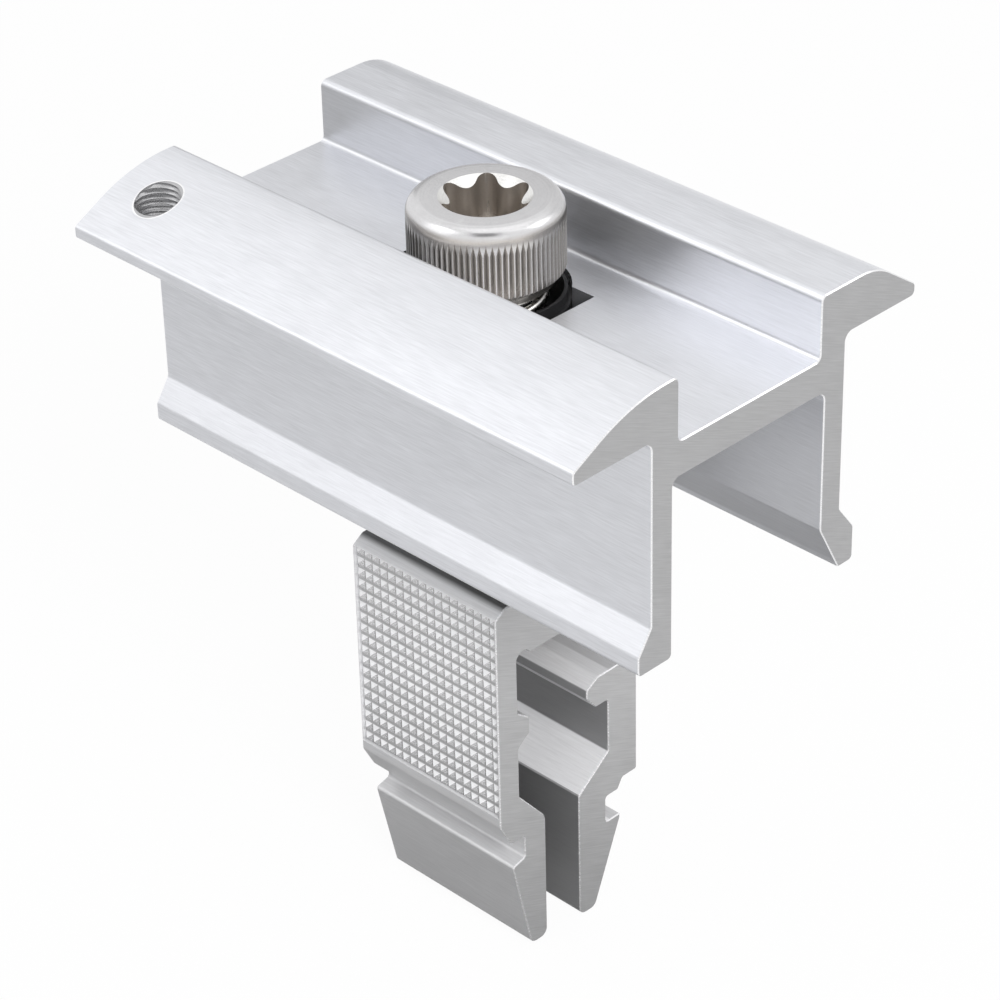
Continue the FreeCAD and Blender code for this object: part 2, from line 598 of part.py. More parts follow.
def make_front_jaw():
    """The fixed jaw: its arm takes the screw, its plate carries the grip and the front hook."""
    body = new_body("front_jaw")
    outer = -(s.leg_inner - s.jaw_gap)
    inner = outer + s.front_plate
    arm_end = s.leg_inner - s.jaw_gap - s.tongue_thick - s.arm_end_gap
    arm_under = s.arm_drop + s.arm_thick
    relief_end = inner + s.relief_width
    slope_full = s.front_slope_drop + s.front_slope_height
    rib_tip = inner + s.rib_out
    lower_bevel = outer + s.front_bevel_width
    corners = {
        "bevel_low": (outer, -(s.arm_drop + s.top_bevel_height)),
        "bevel_top": (outer + s.top_bevel_width, -s.arm_drop),
        "arm_top": (arm_end, -s.arm_drop),
        "arm_low": (arm_end, -arm_under),
        "relief_out": (relief_end, -arm_under),
        "relief_top_out": (relief_end - s.relief_slope, s.relief_rise - arm_under),
        "relief_top_in": (inner + s.relief_slope, s.relief_rise - arm_under),
        "plate_top": (inner, -arm_under),
        "rib_top": (inner, s.rib_half - s.rib_drop),
        "rib_tip_top": (rib_tip, s.rib_tip_half - s.rib_drop),
        "rib_tip_low": (rib_tip, -(s.rib_drop + s.rib_tip_half)),
        "rib_low": (inner, -(s.rib_drop + s.rib_half)),
        "slope_start": (inner, -s.front_slope_drop),
        "slope_end": (-s.front_toe_inner, -slope_full),
        "foot_inner": (-s.front_toe_inner, -s.front_foot_drop),
        "foot_outer": (-(s.front_toe_inner + s.foot_width), -s.front_foot_drop),
        "barb": (-s.front_barb_out, -s.front_barb_drop),
        "neck_low": (-s.front_neck, s.hook_slope - s.front_barb_drop),
        "neck_top": (-s.front_neck, -s.front_seat_drop),
        "seat_outer": (lower_bevel, -s.front_seat_drop),
        "bevel_start": (outer, -s.front_bevel_drop),
    }
    section = new_sketch(body, "front_section", "YZ_Plane")
    outline(section, list(corners.values()))
    pad(body, "front_pad", section, s.jaw_length, centred=True)
    rounds = (
        ("front_corner_fillet", ("rib_tip_top", "rib_tip_low", "barb", "neck_low", "neck_top",
                                 "seat_outer", "slope_start"), s.jaw_round),
        ("front_foot_fillet", ("foot_inner", "foot_outer"), s.foot_round),
        ("front_slope_fillet", ("slope_end",), s.slope_round),
    )
    for name, places, radius in rounds:
        round_corners(body, name, [corners[place] for place in places], radius)
    break_end_edges(body, "front_end_bevel", s.jaw_length / 2, s.end_edge)
    bore = new_sketch(body, "screw_bore", "XY_Plane", -(arm_under + s.arm_thick))
    disc(bore, ZERO, ZERO, s.screw_radius + s.thread_gap)
    pocket(body, "screw_bore_pocket", bore, s.arm_thick * 2, reverse=True)
    hinge = new_sketch(body, "hinge_groove", "YZ_Plane")
    disc(hinge, arm_end - s.hinge_inset, -s.hinge_drop, s.bead_radius + s.bead_gap)
    pocket(body, "hinge_pocket", hinge, s.jaw_length, centred=True)
    slot_side = s.leaf_from_axis - s.leaf_fit
    slot_width = s.leaf_thick + s.leaf_fit * 2
    slot_top = s.leaf_slot_depth - arm_under
    slot = new_sketch(body, "leaf_slot", "YZ_Plane")
    outline(slot, [
        (slot_side, -arm_under),
        (slot_side + slot_width, -arm_under),
        (slot_side + slot_width, slot_top),
        (slot_side, slot_top),
    ])
    pocket(body, "leaf_pocket", slot, s.jaw_length, centred=True)
    cut_grip(body, outer)
    return body


def cut_grip(body, outer):
    """Rows of small pyramids on the outer face, cut as crossing V grooves inside a thin rim."""
    top = -(s.arm_drop + s.top_bevel_height)
    height = s.texture_drop - s.arm_drop - s.top_bevel_height
    strips = s.texture_strip * (s.texture_rows - 1)
    facet = (height - strips) / (s.texture_rows * 2)
    pitch = facet * 2 + s.texture_strip
    floor = outer + s.texture_depth
    width = s.jaw_length - s.texture_rim * 2
    low = -s.texture_drop
    ends = new_sketch(body, "grip_end_rows", "YZ_Plane")
    outline(ends, [(outer, top), (floor, top), (outer, top - facet)])
    outline(ends, [(outer, low + facet), (floor, low), (outer, low)])
    pocket(body, "grip_end_rows_cut", ends, width, centred=True)
    tip = top - facet
    rows = new_sketch(body, "grip_row", "YZ_Plane")
    outline(rows, [
        (outer, tip),
        (floor, tip - facet),
        (floor, tip - facet - s.texture_strip),
        (outer, tip - pitch),
    ])
    cut = pocket(body, "grip_row_cut", rows, width, centred=True)
    line_up(body, "grip_rows", cut, "Z_Axis", pitch, s.texture_rows - 1, reverse=True)
    half = width / (s.texture_columns * 2)
    side = width / 2
    edges = new_sketch(body, "grip_end_columns", "XY_Plane", low)
    outline(edges, [(-side, outer), (half - side, outer), (-side, floor)])
    outline(edges, [(side, outer), (side, floor), (side - half, outer)])
    pocket(body, "grip_end_columns_cut", edges, height, reverse=True)
    column = new_sketch(body, "grip_column", "XY_Plane", low)
    outline(column, [(half - side, outer), (half * 3 - side, outer), (half * 2 - side, floor)])
    cut = pocket(body, "grip_column_cut", column, height, reverse=True)
    line_up(body, "grip_columns", cut, "X_Axis", half * 2, s.texture_columns - 1)


def make_rear_jaw():
    """The swinging jaw: a bead in the arm's groove, a nose under the arm and the rear hook."""
    body = new_body("rear_jaw")
    outer = s.leg_inner - s.jaw_gap
    tongue = outer - s.tongue_thick
    arm_end = tongue - s.arm_end_gap
    heel = arm_end + s.heel_gap
    inner = outer - s.rear_plate
    heel_low = s.tongue_top_drop + s.heel_height
    nose_side = s.nose_drop + s.nose_bevel_height
    nose_low = nose_side + s.nose_face
    shelf = s.rear_barb_drop - s.hook_slope
    corners = {
        "heel_top": (heel, -s.tongue_top_drop),
        "heel_low": (heel, -heel_low),
        "tongue_top": (tongue, -heel_low),
        "tongue_low": (tongue, -(s.nose_drop - s.tongue_foot)),
        "tongue_foot": (tongue - s.tongue_foot, -s.nose_drop),
        "nose_top": (s.nose_out + s.nose_bevel_width, -s.nose_drop),
        "nose_edge": (s.nose_out, -nose_side),
        "nose_low": (s.nose_out, -nose_low),
        "nose_under": (s.nose_out + s.nose_curve, -s.nose_under_drop),
        "recess_top": (inner, -s.nose_under_drop),
        "slope_start": (inner, -s.rear_slope_drop),
        "slope_end": (s.rear_toe_inner, -(s.rear_slope_drop + s.rear_slope_height)),
        "foot_inner": (s.rear_toe_inner, -s.rear_foot_drop),
        "foot_outer": (s.rear_toe_inner + s.foot_width, -s.rear_foot_drop),
        "barb": (s.rear_barb_out, -s.rear_barb_drop),
        "barb_top": (s.rear_barb_out, -shelf),
        "neck_low": (s.rear_neck, -shelf),
        "neck_top": (s.rear_neck, -s.rear_step_drop),
        "step_outer": (s.rear_step_out - s.rear_step_rise, -s.rear_step_drop),
        "seat_inner": (s.rear_step_out, -s.rear_seat_drop),
        "seat_outer": (outer, -s.rear_seat_drop),
        "top_outer": (outer, -s.tongue_top_drop),
    }
    section = new_sketch(body, "rear_section", "YZ_Plane")
    outline(section, list(corners.values()))
    pad(body, "rear_pad", section, s.jaw_length, centred=True)
    rounds = (
        ("rear_corner_fillet", ("nose_edge", "nose_low", "nose_under", "recess_top", "slope_start",
                                "neck_low", "neck_top", "step_outer", "seat_inner", "seat_outer",
                                "top_outer"), s.jaw_round),
        ("rear_foot_fillet", ("foot_inner", "foot_outer"), s.foot_round),
    )
    for name, places, radius in rounds:
        round_corners(body, name, [corners[place] for place in places], radius)
    break_end_edges(body, "rear_end_bevel", s.jaw_length / 2, s.end_edge)
    axis = arm_end - s.hinge_inset
    neck = new_sketch(body, "bead_neck", "YZ_Plane")
    low = -(s.hinge_drop + s.bead_neck / 2)
    high = s.bead_neck / 2 - s.hinge_drop
    middle = tongue + s.tongue_thick / 2
    outline(neck, [(axis, low), (middle, low), (middle, high), (axis, high)])
    pad(body, "bead_neck_pad", neck, s.jaw_length - s.end_edge * 2, centred=True)
    bead = new_sketch(body, "bead_section", "YZ_Plane")
    disc(bead, axis, -s.hinge_drop, s.bead_radius)
    pad(body, "bead_pad", bead, s.jaw_length - s.end_edge * 2, centred=True)
    return body


def make_jaw_spring():
    """The leaf that keeps the rear jaw out: pressed into the arm, it leans towards the tongue."""
    body = new_body("jaw_spring")
    near = s.leaf_from_axis
    far = near + s.leaf_thick
    top = s.leaf_slot_depth - s.leaf_fit - s.arm_drop - s.arm_thick
    touch = s.leg_inner - s.jaw_gap - s.tongue_thick - s.leaf_gap
    turn = s.leaf_thick / 2
    section = new_sketch(body, "leaf_section", "YZ_Plane")
    outline(section, [
        (near, top),
        (far, top),
        (far, turn - s.leaf_bend_drop),
        (touch, -s.leaf_touch_drop),
        (touch - s.leaf_tail, -s.leaf_end_drop),
        (touch - s.leaf_tail - s.leaf_thick, -s.leaf_end_drop),
        (touch - s.leaf_thick - turn / 2, -s.leaf_touch_drop),
        (near, -(s.leaf_bend_drop)),
    ])
    pad(body, "leaf_pad", section, s.leaf_length, centred=True)
    return body


MAKERS = (
    make_clamp_body,
    make_cap_screw,
    make_lift_spring,
    make_guide_sleeve,
    make_front_jaw,
    make_rear_jaw,
    make_jaw_spring,
)

pieces = [maker() for maker in MAKERS]
doc.recompute()
for item in doc.Objects:
    if "Invalid" in item.State or "Error" in item.State:
        raise RuntimeError("%s failed: %s" % (item.Label, item.State))
for piece in pieces:
    shape = piece.Shape
    if shape.isNull() or not shape.isValid() or len(shape.Solids) != 1:
        raise RuntimeError("%s is not one valid solid" % piece.Label)

os.makedirs("parts", exist_ok=True)
for piece in pieces:
    piece.Shape.exportStep("parts/%s.step" % piece.Label)
    print("%s: %.1f mm3, %d faces" % (piece.Label, piece.Shape.Volume, len(piece.Shape.Faces)))
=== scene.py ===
import json
import math

import bpy
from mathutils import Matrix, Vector

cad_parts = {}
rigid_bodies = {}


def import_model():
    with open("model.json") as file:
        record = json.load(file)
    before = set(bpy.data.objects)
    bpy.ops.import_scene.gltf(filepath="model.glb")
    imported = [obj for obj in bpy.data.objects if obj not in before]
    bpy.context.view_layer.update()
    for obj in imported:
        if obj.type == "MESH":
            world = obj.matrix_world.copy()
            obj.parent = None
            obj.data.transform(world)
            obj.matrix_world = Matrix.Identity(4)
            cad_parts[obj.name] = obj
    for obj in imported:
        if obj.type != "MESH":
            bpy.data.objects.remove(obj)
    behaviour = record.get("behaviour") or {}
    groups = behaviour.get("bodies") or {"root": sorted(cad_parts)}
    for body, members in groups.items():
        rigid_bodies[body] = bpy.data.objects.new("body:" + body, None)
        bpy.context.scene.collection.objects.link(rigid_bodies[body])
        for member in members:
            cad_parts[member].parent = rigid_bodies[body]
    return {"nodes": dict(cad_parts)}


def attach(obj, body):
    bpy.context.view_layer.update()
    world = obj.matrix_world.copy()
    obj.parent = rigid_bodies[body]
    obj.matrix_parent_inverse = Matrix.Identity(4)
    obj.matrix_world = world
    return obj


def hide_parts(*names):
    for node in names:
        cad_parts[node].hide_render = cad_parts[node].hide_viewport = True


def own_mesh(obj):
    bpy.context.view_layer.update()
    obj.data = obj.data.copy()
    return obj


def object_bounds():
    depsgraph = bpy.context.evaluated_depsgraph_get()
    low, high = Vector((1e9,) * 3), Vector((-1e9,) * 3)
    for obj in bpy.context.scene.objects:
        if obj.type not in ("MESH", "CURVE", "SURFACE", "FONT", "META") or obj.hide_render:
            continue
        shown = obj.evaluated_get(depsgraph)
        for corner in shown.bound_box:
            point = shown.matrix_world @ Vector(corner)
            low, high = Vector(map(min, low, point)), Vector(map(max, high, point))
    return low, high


# Looks of the solar panel mid clamp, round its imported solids. Everything is in metres, in the
# solids' frame: X to the right along the extrusion, Y back across it, Z up, the origin on the
# screw's axis at the channel floor.

bl_info = {
    "name": "Mid Clamp Looks",
    "version": (1, 0, 0),
    "blender": (4, 5, 0),
    "location": "3D View > Sidebar > Mid Clamp",
    "description": "Adds the mid clamp's finishes, screw, spring, thread and studio",
    "category": "Add Mesh",
}

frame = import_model()
CAD_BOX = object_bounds()
NODES = frame["nodes"]

MM = 0.001
UP = (0.0, 0.0, 1.0)
LEVEL = (0.0, 0.0, 0.0)
UPRIGHT = (math.pi / 2, 0.0, 0.0)


# Camera and studio


IMAGE_SIDE = 1000
SENSOR = 36.0
NEAREST = 0.01
FARTHEST = 20.0
FLOOR_GLOW = 0.95
FADE_START = 0.15


# Meshes: steps in a turn, corners, distances in metres and shares of a thread's pitch


TURN_STEPS = 48
RIDGE_CORNERS = 4
WIRE_CORNERS = 16
EXACT_SPOT = 1e-8
SAME_SPOT = 1e-7
NEAR_SPOT = 1e-6
OVERLAP = 0.0001
RIDGE_ROOT = 0.00006
SCREW_RIDGE_SHARE = 0.44
EARTH_RIDGE_SHARE = 0.46
EARTH_RIDGE_TALL = 0.0062
WING_LOW = 0.0012
WING_TOP = (0.0, -0.0149, 0.00472)
WING_SLOPE = (0.0, -0.345, 1.0)


# Patterns of the finishes: spots in a millimetre, a slant, a depth in metres and two colours


BRUSH_ALONG = 1 / 2.6
BRUSH_ACROSS = 7.0
FINE_ACROSS = 17.0
SAW_SLANT = math.radians(24)
SAW_ALONG = 0.35
SAW_ACROSS = 9.0
CLOUD_ALONG = 0.12
CLOUD_ACROSS = 0.3
RINGS = 7.0
BROACH_ALONG = 0.2
BROACH_ACROSS = 1.1
BUMP_DEPTH = 0.00002
# The first colour is a painted highlight for the earthing hole's rim.
RIM_HIGHLIGHT = (0.97, 0.97, 0.98)
GREY_PLASTIC = (0.03, 0.03, 0.032)


# Places where a finish, or its painted light and shade, changes, in millimetres: a mask rises from
# the first to the second


GRIP_BACK = (-8.24, -8.20)
GRIP_VALLEY = (-8.35, -8.29)
GRIP_LOW = (-46.95, -46.85)
GRIP_HIGH = (-26.0, -25.9)
GRIP_SIDE = (8.59, 8.61)
GRIP_LEFT = (-8.5, -8.4)
JAW_TOP = (-26.1, -26.0)
JAW_TOP_FRONT = (-8.1, -7.45)
JAW_TOP_BACK = (-6.4, -5.4)

LEG_TOP = (-4.2, -4.0)
LEG_INSIDE = (8.5, 8.7)
LEG_OUTSIDE = (10.9, 11.1)
LEG_RIGHT = (5.0, 27.0)
WALL_LOW = (0.0, 0.1)
WALL_INSIDE = (7.5, 7.7)
WALL_OUTSIDE = (9.5, 9.6)
WALL_RIGHT = (-29.0, 12.0)

CAVITY_BACK = (5.1, 5.3)
CAVITY_RIGHT = (-5.0, 8.0)
CAVITY_LOW = (-50.0, -47.0)

# The first two are measured outwards from the wall of the earthing hole
BORE_RIM = (0.06, 0.22)
BORE_WALL = (0.0, 0.03)
BORE_LOW = (0.6, 1.1)

CROWN_HEIGHT = (6.0, 7.0)
SOCKET_MOUTH = (3.90, 3.96)
HEAD_LOW = (0.5, 1.0)
GROOVE_BOTTOM = (6.0, 6.2)
GROOVE_MOUTH = (6.34, 6.56)
GROOVE_LOW = (1.6, 3.4)
CREST_RADIUS = (6.57, 6.62)
CREST_LOW = (1.2, 1.8)
KNURL_HIGH = (6.2, 6.6)

BOARD_LEFT = (-450.0, -360.0)
BOARD_HIGH = (50.0, 72.0)
BOARD_RIGHT = (-110.0, -15.0)


# How far a face looks along an axis, as a part of 1: a mask rises from the first to the second


END_FACE = (0.9, 0.97)
NEAR_END_FACE = (0.5, 0.9)
TOP_FACE = (0.4, 0.7)
LEVEL_FACE = (0.5, 0.8)
HEAD_TOP_FACE = (0.15, 0.6)
BEVEL_FACE = (0.3, 0.5)
POINT_SIDE = (0.15, 0.4)
POINT_UNDERSIDE = (-0.4, -0.15)
TURNED_ASIDE = (0.1, 0.3)
NOT_TO_FRONT = (-0.9, -0.7)
NOT_SQUARE_TO_FRONT = (-0.98, -0.85)

# Which way the head's two sides are, where painted shade darkens them, and how far a spot lies to
# them as a part of its radius
HEAD_SIDE_WAY = (0.71, 0.70)
HEAD_SIDE = (0.2, 1.0)


# Sizes and colours


def length(name, text, value):
    return bpy.props.FloatProperty(
        name=name, description=text, default=value, subtype="DISTANCE", unit="LENGTH", precision=6
    )


def number(name, text, value):
    return bpy.props.FloatProperty(name=name, description=text, default=value)


def colour(name, text, value):
    return bpy.props.FloatVectorProperty(
        name=name, description=text, default=value, size=3, min=0.0, max=1.0, subtype="COLOR"
    )


def place(name, text, value):
    return bpy.props.FloatVectorProperty(
        name=name, description=text, default=value, size=3, subtype="TRANSLATION", unit="LENGTH"
    )


def angles(name, text, value):
    return bpy.props.FloatVectorProperty(
        name=name,
        description=text,
        default=[math.radians(part) for part in value],
        size=3,
        subtype="EULER",
        unit="ROTATION",
    )


class StudioSettings(bpy.types.PropertyGroup):
    camera_place: place("Camera", "Where the camera stands", (0.185232, -0.181393, 0.142541))
    camera_turn: angles("Camera angles", "How the camera is turned", (57.6384, 1.1975, 44.7123))
    focal_pixels: number("Focal length", "Focal length in pixels of the picture", 3564.0)
    floor_half: length("Floor", "Half of the floor's side", 4.0)
    floor_colour: colour("Floor colour", "Colour of the floor", (0.90, 0.90, 0.90))
    room_light: number("Room light", "Strength of the light from all round", 0.60)
    key_light: number("Key light", "Power of the lamp at the left", 0.32)
    top_light: number("Top light", "Power of the lamp overhead", 0.35)
    fill_light: number("Fill light", "Power of the lamp that looks in between the jaws", 2.4)
    right_board: number("Right board", "Brightness of the board that the ends mirror", 0.78)
    front_board: number("Front board", "Brightness of the board that the front mirrors", 0.62)
    crown_board: number("Crown board", "Brightness of the board that the head's edge mirrors", 0.05)
    glint_board: number("Glint boards", "Brightness of the boards that light the head's edge", 2.8)
    rear_board: number("Rear board", "Brightness of the board that the rear wing mirrors", 0.45)
    # The foot board is a painted shadow on the ground under the hooks, seen only in the metal's
    # reflections.
    foot_shadow: number("Foot board", "Brightness of the ground that the hooks mirror", 0.25)
    foot_shadow_radius: length("Foot radius", "Where the dark ground under the hooks ends", 0.055)


class FinishSettings(bpy.types.PropertyGroup):
    extrusion: colour("Extrusion", "Brushed aluminium of the clamp", (0.795, 0.805, 0.84))
    sawn: colour("Sawn ends", "Sawn ends of the clamp", (0.51, 0.51, 0.515))
    jaw: colour("Jaws", "Satin aluminium of the jaws", (0.66, 0.66, 0.67))
    jaw_end: colour("Jaw ends", "Sawn ends of the jaws", (0.53, 0.53, 0.535))
    # The two bevel colours are lighter than the metal: painted highlights on the broken edges.
    broken_edge_highlight: colour("Broken edges", "Small bevels at the clamp's ends", (0.84, 0.84, 0.85))
    jaw_edge_highlight: colour("Jaw edges", "Small bevels at the jaws' ends", (0.70, 0.70, 0.71))
    head: colour("Head", "Turned top of the screw's head", (0.68, 0.675, 0.685))
    stainless: colour("Stainless", "Knurled and broached steel of the screw", (0.60, 0.565, 0.53))
    # The lead-in and crest colours are painted highlights; the socket and groove colours are
    # painted shade.
    lead_in_highlight: colour("Lead-in", "Bevel round the socket's mouth", (0.84, 0.835, 0.82))
    socket: colour("Socket", "Walls of the socket", (0.50, 0.46, 0.42))
    groove: colour("Groove", "Steel at the bottom of the knurl", (0.36, 0.34, 0.32))
    crest: colour("Crest", "Worn tops of the knurl", (0.88, 0.85, 0.81))
    # The tapped colour darkens the earthing hole's wall as painted shade.
    tapped_shade: colour("Tapped", "Threaded wall of the earthing hole", (0.50, 0.50, 0.51))
    spring: colour("Spring", "Steel of the springs", (0.80, 0.78, 0.74))
    plastic: colour("Plastic", "Black plastic of the sleeve", (0.012, 0.012, 0.013))


class PieceSettings(bpy.types.PropertyGroup):
    neck_drop: length("Neck", "Drop of the thread's upper end", 0.0012)
    tip_drop: length("Tip", "Drop of the thread's lower end", 0.0302)
    thread_crest: length("Thread crest", "Radius over the screw's thread", 0.00395)
    thread_core: length("Thread core", "Radius at the bottom of the screw's thread", 0.00336)
    thread_pitch: length("Thread pitch", "Rise of the screw's thread in a turn", 0.00125)
    wire_radius: length("Wire", "Radius of the lift spring's wire", 0.00055)
    coil_radius: length("Coil", "Mean radius of the lift spring", 0.00465)
    coil_low: length("Coil foot", "Height of the lowest coil's middle", -0.0246)
    coil_high: length("Coil top", "Height of the highest coil's middle", -0.00015)
    coil_free: number("Free coils", "Turns between the two closed end coils", 7.0)
    slide_travel: length("Travel", "How far the clamp comes down", 0.00625)
    earth_place: place("Earthing hole", "Middle of the earthing hole", (-0.0239, -0.0149, 0.0))
    earth_bore: length("Earthing bore", "Radius of the earthing hole", 0.0021)
    earth_crest: length("Earthing crest", "Radius inside the earthing hole's thread", 0.00186)
    earth_pitch: length("Earthing pitch", "Rise of the earthing hole's thread in a turn", 0.0005)


# Shader tools


class Wire:
    """A shader socket in an expression: each operator adds its Math node."""

    def __init__(self, tree, socket):
        self.tree = tree
        self.socket = socket

    def math(self, operation, *values):
        """Adds a Math node on values, in their order."""
        node = self.tree.nodes.new("ShaderNodeMath")
        node.operation = operation
        for slot, value in zip(node.inputs, values):
            feed(self.tree, slot, value)
        return Wire(self.tree, node.outputs[0])

    def __add__(self, other):
        return self.math("ADD", self, other)

    __radd__ = __add__

    def __sub__(self, other):
        return self.math("SUBTRACT", self, other)

    def __rsub__(self, other):
        return self.math("SUBTRACT", other, self)

    def __mul__(self, other):
        return self.math("MULTIPLY", self, other)

    __rmul__ = __mul__

    def __truediv__(self, other):
        return self.math("DIVIDE", self, other)

    def __rtruediv__(self, other):
        return self.math("DIVIDE", other, self)

    def __abs__(self):
        return self.math("ABSOLUTE", self)

    def root(self):
        return self.math("SQRT", self)

    def most(self, other):
        return self.math("MAXIMUM", self, other)

    def between(self, low, high):
        """0 below low, 1 above high and a smooth step from one to the other."""
        node = self.tree.nodes.new("ShaderNodeMapRange")
        node.interpolation_type = "SMOOTHSTEP"
        feed(self.tree, node.inputs["Value"], self)
        node.inputs["From Min"].default_value = low
        node.inputs["From Max"].default_value = high
        return Wire(self.tree, node.outputs["Result"])


def feed(tree, socket, value):
    """Links a wire to a socket, or sets the socket's value."""
    if isinstance(value, Wire):
        tree.links.new(value.socket, socket)
    else:
        socket.default_value = value


def from_axis(x, y):
    """Distance from the Z axis."""
    return (x * x + y * y).root()


def direct_rays(tree):
    """1 for the rays that see, mirror or pass through, and 0 for the rest."""
    rays = tree.nodes.new("ShaderNodeLightPath")
    seen = Wire(tree, rays.outputs["Is Camera Ray"])
    for name in ("Is Glossy Ray", "Is Transmission Ray"):
        seen = seen.most(Wire(tree, rays.outputs[name]))
    return seen


class Finish:
    """A material, with short ways to add the nodes that it needs."""

    def __init__(self, name):
        self.material = bpy.data.materials.new(name)
        self.material.use_nodes = True
        self.tree = self.material.node_tree
        self.shader = self.tree.nodes["Principled BSDF"]

    def node(self, kind, values=None, result=0, **settings):
        """Adds a node: its settings first, then the values or wires of its sockets."""
        made = self.tree.nodes.new(kind)
        for name, value in settings.items():
            setattr(made, name, value)
        for name, value in (values or {}).items():
            feed(self.tree, made.inputs[name], value)
        return Wire(self.tree, made.outputs[result])

    def point(self):
        """Object coordinates in millimetres."""
        spot = self.node("ShaderNodeTexCoord", result="Object")
        values = {0: spot, "Scale": 1 / MM}
        return self.node("ShaderNodeVectorMath", values, operation="SCALE")

    def facing(self):
        """How far a face looks to the right, back and up."""
        return self.parts(self.node("ShaderNodeTexCoord", result="Normal"))

    def parts(self, vector):
        """Three wires from one."""
        made = self.tree.nodes.new("ShaderNodeSeparateXYZ")
        feed(self.tree, made.inputs[0], vector)
        return [Wire(self.tree, made.outputs[index]) for index in range(3)]

    def vector(self, x, y, z):
        """One wire from three."""
        return self.node("ShaderNodeCombineXYZ", {0: x, 1: y, 2: z})

    def noise(self, vector, scale=1.0, detail=2.0, roughness=0.5):
        values = {"Vector": vector, "Scale": scale, "Detail": detail, "Roughness": roughness}
        return self.node("ShaderNodeTexNoise", values, result="Fac")

    def blend(self, factor, first, second, mode="MIX"):
        """Mixes two colours."""
        made = self.tree.nodes.new("ShaderNodeMix")
        made.data_type = "RGBA"
        made.blend_type = mode
        colours = [socket for socket in made.inputs if socket.type == "RGBA"]
        feed(self.tree, made.inputs["Factor"], factor)
        for socket, value in zip(colours, (first, second)):
            feed(self.tree, socket, value if isinstance(value, Wire) else (*value[:3], 1.0))
        out = next(socket for socket in made.outputs if socket.type == "RGBA")
        return Wire(self.tree, out)

    def toned(self, colour, tone):
        """A colour multiplied by a number."""
        return self.blend(1.0, colour, self.vector(tone, tone, tone), mode="MULTIPLY")

    def bump(self, height, strength):
        values = {"Height": height, "Strength": strength, "Distance": BUMP_DEPTH}
        return self.node("ShaderNodeBump", values)

    def show(self, shader):
        """Puts a shader in the place of the plain one."""
        output = self.tree.nodes["Material Output"]
        self.tree.links.new(shader.socket, output.inputs["Surface"])

    def set(self, **sockets):
        """Fills sockets of the plain shader and gives the material."""
        for name, value in sockets.items():
            feed(self.tree, self.shader.inputs[name.replace("_", " ")], value)
        return self.material


def grip_painted_light(x, y, z, facing):
    """Painted light on the front jaw: a brighter top, brighter grip points and a brighter left wall
    of their pocket.

    Painted shade dims the points' valleys and turned sides, and a painted shadow dims a strip of
    the top under the clamp's leg.
    """
    right, _, up = facing
    in_front = 1 - y.between(*GRIP_BACK)
    on_top = z.between(*JAW_TOP)
    grip = in_front * z.between(*GRIP_LOW) * (1 - z.between(*GRIP_HIGH))
    grip = grip * (1 - abs(x).between(*GRIP_SIDE))
    # Painted shade in the points' valleys and on their turned sides.
    valley_shade = y.between(*GRIP_VALLEY) * 0.62
    turned = right.between(*POINT_SIDE) * 0.52 + up.between(*POINT_SIDE) * 0.12
    turned = turned + (1 - up.between(*POINT_UNDERSIDE)) * 0.25
    # A painted highlight on the pocket's left wall, and painted light on the jaw's top.
    left_wall_highlight = right.between(*END_FACE) * (1 - x.between(*GRIP_LEFT)) * in_front
    top = up.between(*TOP_FACE) * on_top * 0.3
    # A painted shadow on a strip of the top under the clamp's leg.
    leg_shadow = y.between(*JAW_TOP_FRONT) * (1 - y.between(*JAW_TOP_BACK)) * on_top
    leg_shadow = leg_shadow * (1 - abs(right).between(*NEAR_END_FACE))
    bright = 1.0 + grip * (0.3 - valley_shade - turned) * (1 - left_wall_highlight) + top + left_wall_highlight * 0.8
    return bright * (1.0 - leg_shadow * 0.85)


def channel_painted_shade(x, y, z, facing):
    """Painted shade: dims the inner sides of the clamp's rear half, most of all at the left."""
    _, back, _ = facing
    inward = 1 - back.between(*NOT_TO_FRONT)
    # Painted shade on the inner faces of the rear leg and the rear wall.
    leg = (1 - z.between(*LEG_TOP)) * y.between(*LEG_INSIDE) * (1 - y.between(*LEG_OUTSIDE))
    leg = leg * (0.3 - x.between(*LEG_RIGHT) * 0.16)
    wall = z.between(*WALL_LOW) * y.between(*WALL_INSIDE) * (1 - y.between(*WALL_OUTSIDE))
    wall = wall * (1 - x.between(*WALL_RIGHT)) * 0.26
    return 1.0 - inward * (leg + wall)


def cavity_painted_light(x, y, z, facing):
    """Painted shade dims the upright faces on the rear jaw's inside, and painted light brightens
    its tops at the right.
    """
    right, back, up = facing
    inside = 1 - y.between(*CAVITY_BACK)
    # Painted shade on the upright faces inside, painted light on the tops at the right.
    upright = (1 - back.between(*NOT_SQUARE_TO_FRONT)) * inside
    top = up.between(*TOP_FACE) * inside * (1 - abs(right).between(*TURNED_ASIDE))
    at_right = x.between(*CAVITY_RIGHT) * 0.45
    low = 1 - z.between(*CAVITY_LOW)
    return 1.0 - upright * (0.67 - at_right * 0.6 + low * 0.1) + top * at_right


